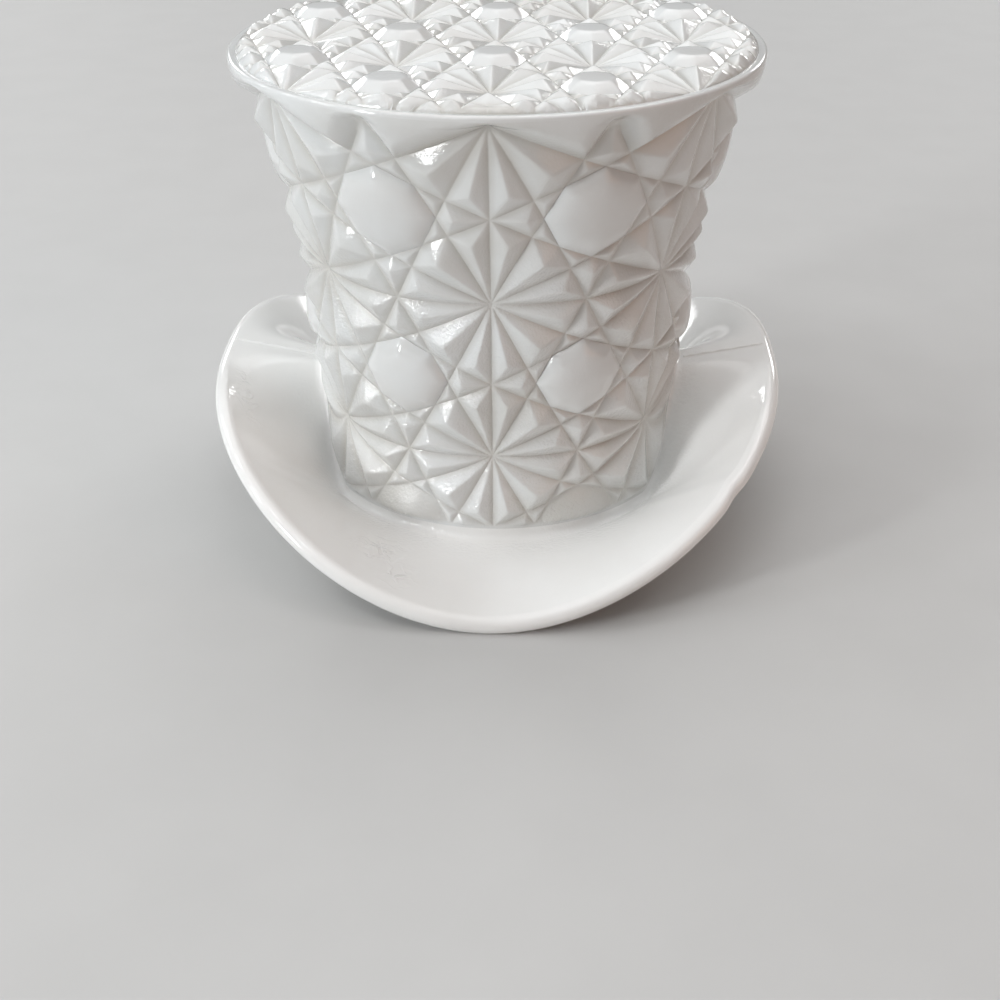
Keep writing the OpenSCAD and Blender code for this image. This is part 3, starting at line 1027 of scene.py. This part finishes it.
joint = zip_rings(points, [a for a, b in upper], list(bore_edge))
upper_set = set(upper)
if any((a, b) in upper_set for face in joint for a, b in zip(face, face[1:] + face[:1])):
    joint = [face[::-1] for face in joint]
faces += joint
inner = np.zeros(len(points) - len(marks))
closed_piece("pressed_wall", points, faces, patterned_glass, "crown_wall",
             marks={"groove": np.append(marks, inner), "pebbled": np.append(pebbled, inner)})
print("open edges left on the wall:", len(border_edges(faces)))

# %% [markdown]
# ## Buttons
# A button is low, has eight straight edges and sits in the cell between four daisies. Two closed
# lenses are made, eight-sided at the edge and rounder towards the middle: a domed one for the wall
# and a bevelled one for the top. Instances are set into the cells, and those of the wall are bent
# with it.

# %% Lenses of the buttons
ROUNDER = BUTTON_REACH * 1.02


def button_lens(name, profile, rings_up, sides):
    angles = np.arange(sides) * math.tau / sides
    slopes = [(2, 1), (1, 2), (-1, 2), (-2, 1), (-2, -1), (-1, -2), (1, -2), (2, -1)]
    normals = np.array([math.atan2(b, a) for a, b in slopes])
    apart = np.abs((angles[:, None] - normals + math.pi) % math.tau - math.pi).min(axis=1)
    octagon = BUTTON_REACH / np.cos(apart)
    points = [(0, 0, 1)]
    shares = [crowded(0.5 + k / rings_up / 2) * 2 - 1 for k in range(1, rings_up + 1)]
    for share in shares + shares[-2::-3]:
        reach = share * (ROUNDER + (octagon - ROUNDER) * share)
        high = profile(share) if len(points) <= rings_up * sides else 0.0
        points += [(r * math.cos(a), r * math.sin(a), high) for r, a in zip(reach, angles)]
    last = (len(points) - 1) // sides
    points.append((0, 0, 0))
    faces = [(0, 1 + k, 1 + (k + 1) % sides) for k in range(sides)]
    for ring in range(last - 1):
        low = 1 + ring * sides
        faces += [(low + k, low + sides + k, low + sides + (k + 1) % sides, low + (k + 1) % sides)
                  for k in range(sides)]
    low = 1 + (last - 1) * sides
    faces += [(len(points) - 1, low + (k + 1) % sides, low + k) for k in range(sides)]
    mesh = bpy.data.meshes.new(name)
    mesh.from_pydata(points, [], faces)
    print(name, len(faces), "faces")
    return add_object(name, mesh)


def domed(share):
    return 1 - 0.45 * share ** 2 - 0.55 * share ** 6


def bevelled(share):
    past = max(0, share - 0.58) / 0.42
    return 1 - 0.06 * share ** 2 - 0.94 * past ** 1.25


wall_lens = button_lens("wall_lens", domed, rings_up=12, sides=64)
top_lens = button_lens("top_lens", bevelled, rings_up=14, sides=64)


def finish_grown(piece, node):
    mesh = piece.data
    points = np.array([v.co for v in mesh.vertices])
    faces = [tuple(p.vertices) for p in mesh.polygons]
    if signed_volume(points, faces) < 0:
        mesh.flip_normals()
    mesh.set_sharp_from_angle(angle=SHARP_ANGLE)
    hand_over(piece, node)
    print(piece.name, len(faces), "faces")


# %% Tree of the wall's buttons
wall_button_sizes = {**pattern_sizes, "Lens": wall_lens, "Seat": seat, "Glass": polished_glass}
button_tree, size = new_tree("wall_button_rows", wall_button_sizes)
domes = lay_copies(wall_lattice(button_tree, (columns / 2, 1.0, 0)), size["Lens"])
along, across, high = read_position(button_tree)
z, _, sine, cosine, _ = bend_round_wall(size, along, across)
r = wall_radius(z, size) + size["Seat"] + size["Relief"] * high
close_tree(button_tree, move_points(domes, around(r, sine, cosine, z)), size["Glass"])
finish_grown(grow("wall_button_domes", button_tree, wall_button_sizes), "wall_buttons")

# %% [markdown]
# ## The crown's top
# The same daisies cover the flat top, at 45 degrees to the front. A square field of tiles is laid and
# raised by the relief rule, and its height is held under a cone at the border, so that the facets run
# down to the smooth ledge. Then the field is cut along the ledge's circle.

# %% Tree of the top's field
BORDER_SLOPE = 1.1
NO_FIRST_LINE = -100.0
top_sizes = {"Pitch": top_pitch, "Relief": top_relief, "Pit Depth": top_pit,
             "Floor": top_edge_z + top_floor, "Softness": 0.035, "Field Radius": top_r,
             "Ledge": top_edge_z + 0.12 * MM, "Mould Wear": 0.06 * MM,
             "Daisy": daisy_tile, "Glass": patterned_glass}
top_tree, size = new_tree("daisy_top", top_sizes)


def turned_field(along, across, pitch):
    x = (along - across) * pitch * math.sqrt(0.5)
    y = (along + across) * pitch * math.sqrt(0.5)
    return x, y


lattice = add_node(top_tree, "GeometryNodeMeshGrid", Size_X=4.0, Size_Y=4.0, Vertices_X=5, Vertices_Y=5)
field = lay_copies(lattice.outputs[0], size["Daisy"])
field = add_node(top_tree, "GeometryNodeMergeByDistance", Geometry=field, Distance=1e-5)
along, across, _ = read_position(top_tree)
rise, pit, _ = relief_of(top_tree, along, across, NO_FIRST_LINE, size["Softness"])
x, y = turned_field(along, across, size["Pitch"])
worn = waviness(point_at(x, y, 0.0), WEAR_SCALE) * size["Mould Wear"]
z = size["Floor"] + size["Relief"] * rise / KITE_RISE - size["Pit Depth"] * pit + worn
reach = reckon("SQRT", x * x + y * y)
slope = size["Ledge"] + (size["Field Radius"] - reach) * BORDER_SLOPE
z = reckon("SMOOTH_MIN", z, slope, 0.4 * MM)
# The glass reads this groove mark to darken the top's grooves: painted shade.
marked = store_mark(field.outputs[0], "groove", 1 - ease(rise, 0.0, GROOVE_WIDTH))
close_tree(top_tree, move_points(marked, point_at(x, y, z)), size["Glass"])
print("top tree:", len(top_tree.nodes), "nodes")

# %% Cut the field along the ledge
def cut_to_circle(points, faces, marks, radius):
    points = list(points)
    marks = list(marks)
    inside = [math.hypot(p[0], p[1]) < radius for p in points]
    cuts = {}

    def cut(a, b):
        key = (min(a, b), max(a, b))
        if key not in cuts:
            p, q = points[key[0]], points[key[1]]
            d = q - p
            square = d[0] ** 2 + d[1] ** 2
            half = p[0] * d[0] + p[1] * d[1]
            root = math.sqrt(half ** 2 - square * (p[0] ** 2 + p[1] ** 2 - radius ** 2))
            share = (root - half) / square if inside[key[0]] else (-root - half) / square
            cuts[key] = len(points)
            points.append(p + d * share)
            marks.append(marks[key[0]])
        return cuts[key]

    kept = []
    for face in faces:
        within = [inside[i] for i in face]
        if all(within):
            kept.append(face)
        elif any(within):
            trimmed = []
            for a, b in zip(face, face[1:] + face[:1]):
                if inside[a]:
                    trimmed.append(a)
                if inside[a] != inside[b]:
                    trimmed.append(cut(a, b))
            kept.append(tuple(trimmed))
    used = sorted({i for face in kept for i in face})
    fresh = {old: new for new, old in enumerate(used)}
    kept = [tuple(fresh[i] for i in face) for face in kept]
    return np.array([points[i] for i in used]), kept, np.array([marks[i] for i in used])


points, faces, marks = read_mesh(grow("top_sheet", top_tree, top_sizes))
points, faces, marks = cut_to_circle(points, faces, marks, top_r)
edges = border_edges(faces)
loop = walk_border(edges)
print("top field:", len(faces), "faces,", len(loop), "points on its border,", len(edges), "border edges")

# %% [markdown]
# Below the field lies the glass that closes the crown: a step that rests on the wall, and a plug
# that is the ceiling of the hollow when one looks in from below.

# %% Close the top
ceiling_r = bore_r(ceiling_z) - seat
turns = turn_of(points[loop])
rings = [level_ring(top_r, turns, rim_z), level_ring(bore_r(rim_z) - seat, turns, rim_z)]
rings += [level_ring(ceiling_r * share, turns, ceiling_z) for share in (1, 0.8, 0.55, 0.3, 0.1)]
points, last_ring = add_rings(points, faces, loop, rings)
centre = len(points)
points = np.vstack([points, [(0, 0, ceiling_z)]])
faces += [(b, a, centre) for a, b in zip(last_ring, np.roll(last_ring, -1))]
marks = np.append(marks, np.zeros(len(points) - len(marks)))
closed_piece("pressed_top", points, faces, patterned_glass, "crown_top",
             marks={"groove": marks})
print("open edges left on the top:", len(border_edges(faces)))

# %% Tree of the top's buttons
BUTTON_SINK = 0.985
HALF_BUTTON = 0.25
top_button_sizes = {"Pitch": top_pitch, "Relief": top_relief, "Floor": top_edge_z + top_floor, "Seat": seat,
                    "Field Radius": top_r, "Lens": top_lens, "Glass": polished_glass}
top_button_tree, size = new_tree("top_button_field", top_button_sizes)
cells = add_node(top_button_tree, "GeometryNodeMeshGrid", Size_X=3.0, Size_Y=3.0,
                 Vertices_X=4, Vertices_Y=4)
along, across, _ = read_position(top_button_tree)
from_axis = reckon("SQRT", along * along + across * across) * size["Pitch"]
too_far = reckon("GREATER_THAN", from_axis + size["Pitch"] * HALF_BUTTON, size["Field Radius"])
cells = add_node(top_button_tree, "GeometryNodeDeleteGeometry", Geometry=cells.outputs[0], Selection=too_far)
domes = lay_copies(cells.outputs[0], size["Lens"])
along, across, high = read_position(top_button_tree)
x, y = turned_field(along, across, size["Pitch"])
z = size["Floor"] + size["Seat"] + size["Relief"] * high * BUTTON_SINK
close_tree(top_button_tree, move_points(domes, point_at(x, y, z)), size["Glass"])
finish_grown(grow("top_button_domes", top_button_tree, top_button_sizes), "top_buttons")
for helper in (wall_lens, top_lens, daisy_tile, brow_tile):
    bpy.data.objects.remove(helper)

# %% [markdown]
# ## The rim
# Round the top's pattern runs a smooth ledge, and the fire rounded its outer edge. It is a lathe
# shape, so a section is turned round the axis.

# %% Rim
RIM_STEPS = 360
rounding = [math.radians(t) for t in np.linspace(0, 90, 10)]
worn_edge = 0.42 * MM
rim_section = [(top_r + seat, rim_z), (top_edge_r, rim_z)]
rim_section += [(top_edge_r - worn_edge * (1 - math.cos(t)), top_edge_z - worn_edge * (1 - math.sin(t)))
                for t in rounding]
rim_section += [(top_r + seat + 0.12 * MM, top_edge_z), (top_r + seat, top_edge_z - 0.08 * MM)]
rim_turns = np.arange(RIM_STEPS) * math.tau / RIM_STEPS
points = np.vstack([level_ring(r, rim_turns, z) for r, z in rim_section])
faces = ring_faces(len(rim_section), RIM_STEPS)
closed_piece("rim_ledge", points, faces, polished_glass, "crown_rim")

# %% [markdown]
# ## Floor and light
# The hat stands on a plain pale floor, and a broad sky gives most of the light. Windows at the left,
# a row of panes above them and two lights behind are small and bright, so that they glint in the
# facets and along the lip. A weak warm light at the right keeps that side from turning cold.

# %% Floor
def pale_floor():
    just_below = -0.05 * MM
    bpy.ops.mesh.primitive_plane_add(size=6, location=(0, 0, just_below))
    floor = bpy.context.object
    floor.name = "floor"
    material = bpy.data.materials.new("pale_floor")
    material.use_nodes = True
    tree = material.node_tree
    shader = tree.nodes["Principled BSDF"]
    shader.inputs["Roughness"].default_value = 0.7
    where = add_node(tree, "ShaderNodeTexCoord").outputs["Object"]
    tint = use_effect(cloudy_white, where, Bright=(0.54, 0.54, 0.535, 1), Dim=(0.52, 0.52, 0.515, 1))
    plug(shader.inputs["Base Color"], tint)
    floor.data.materials.append(material)
    floor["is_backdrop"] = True


pale_floor()

# %% Lights
WHITE = (1.0, 1.0, 1.0)
DAYLIGHT = (0.97, 0.99, 1.0)
AMBER = (1.0, 0.55, 0.34)
AIM = Vector((0, 0, 0.04))


def soft_light(name, place, size, power, tint):
    light = bpy.data.lights.new(name, "AREA")
    light.shape = "RECTANGLE"
    light.size, light.size_y = size
    light.energy = power
    light.color = tint
    lamp = add_object(name, light)
    lamp.location = place
    lamp.rotation_euler = (AIM - Vector(place)).to_track_quat("-Z", "Y").to_euler()


soft_light("sky_above", (-0.2, 0.28, 2.4), (4.4, 4.1), 53.0, WHITE)
soft_light("sky_behind", (0.12, 0.3, 0.8), (0.6, 0.6), 1.5, WHITE)
soft_light("window_left", (-0.46, -0.36, 0.2), (0.08, 0.18), 1.3, DAYLIGHT)
soft_light("window_far_left", (-0.58, -0.18, 0.3), (0.07, 0.12), 0.4, DAYLIGHT)
soft_light("pale_room_front", (-0.3, -0.7, 0.38), (0.6, 0.4), 0.4, DAYLIGHT)
soft_light("warm_right", (0.5, -0.3, 0.2), (0.4, 0.4), 0.42, AMBER)
panes = [(-0.17, -0.33, 0.64), (-0.31, -0.24, 0.61), (-0.44, -0.15, 0.57), (-0.51, 0.01, 0.49),
         (-0.55, 0.14, 0.42), (-0.57, 0.28, 0.35)]
for k, place in enumerate(panes):
    soft_light(f"pane_{k}", place, (0.06, 0.06), 0.15, DAYLIGHT)
soft_light("catch_back_left", (-0.36, 0.68, 0.3), (0.2, 0.14), 0.7, WHITE)
soft_light("catch_back_right", (0.36, 0.68, 0.3), (0.2, 0.14), 0.7, WHITE)
world = bpy.data.worlds.new("studio")
world.use_nodes = True
backdrop = world.node_tree.nodes["Background"]
backdrop.inputs["Color"].default_value = (0.9, 0.92, 0.95, 1)
backdrop.inputs["Strength"].default_value = 0.06
bpy.context.scene.world = world
bpy.context.scene.view_settings.view_transform = "Standard"

# %% Print the visual box and finish
final_box = [list(corner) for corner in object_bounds()]
print("visual box in mm:", [[round(1000 * c, 2) for c in corner] for corner in final_box])
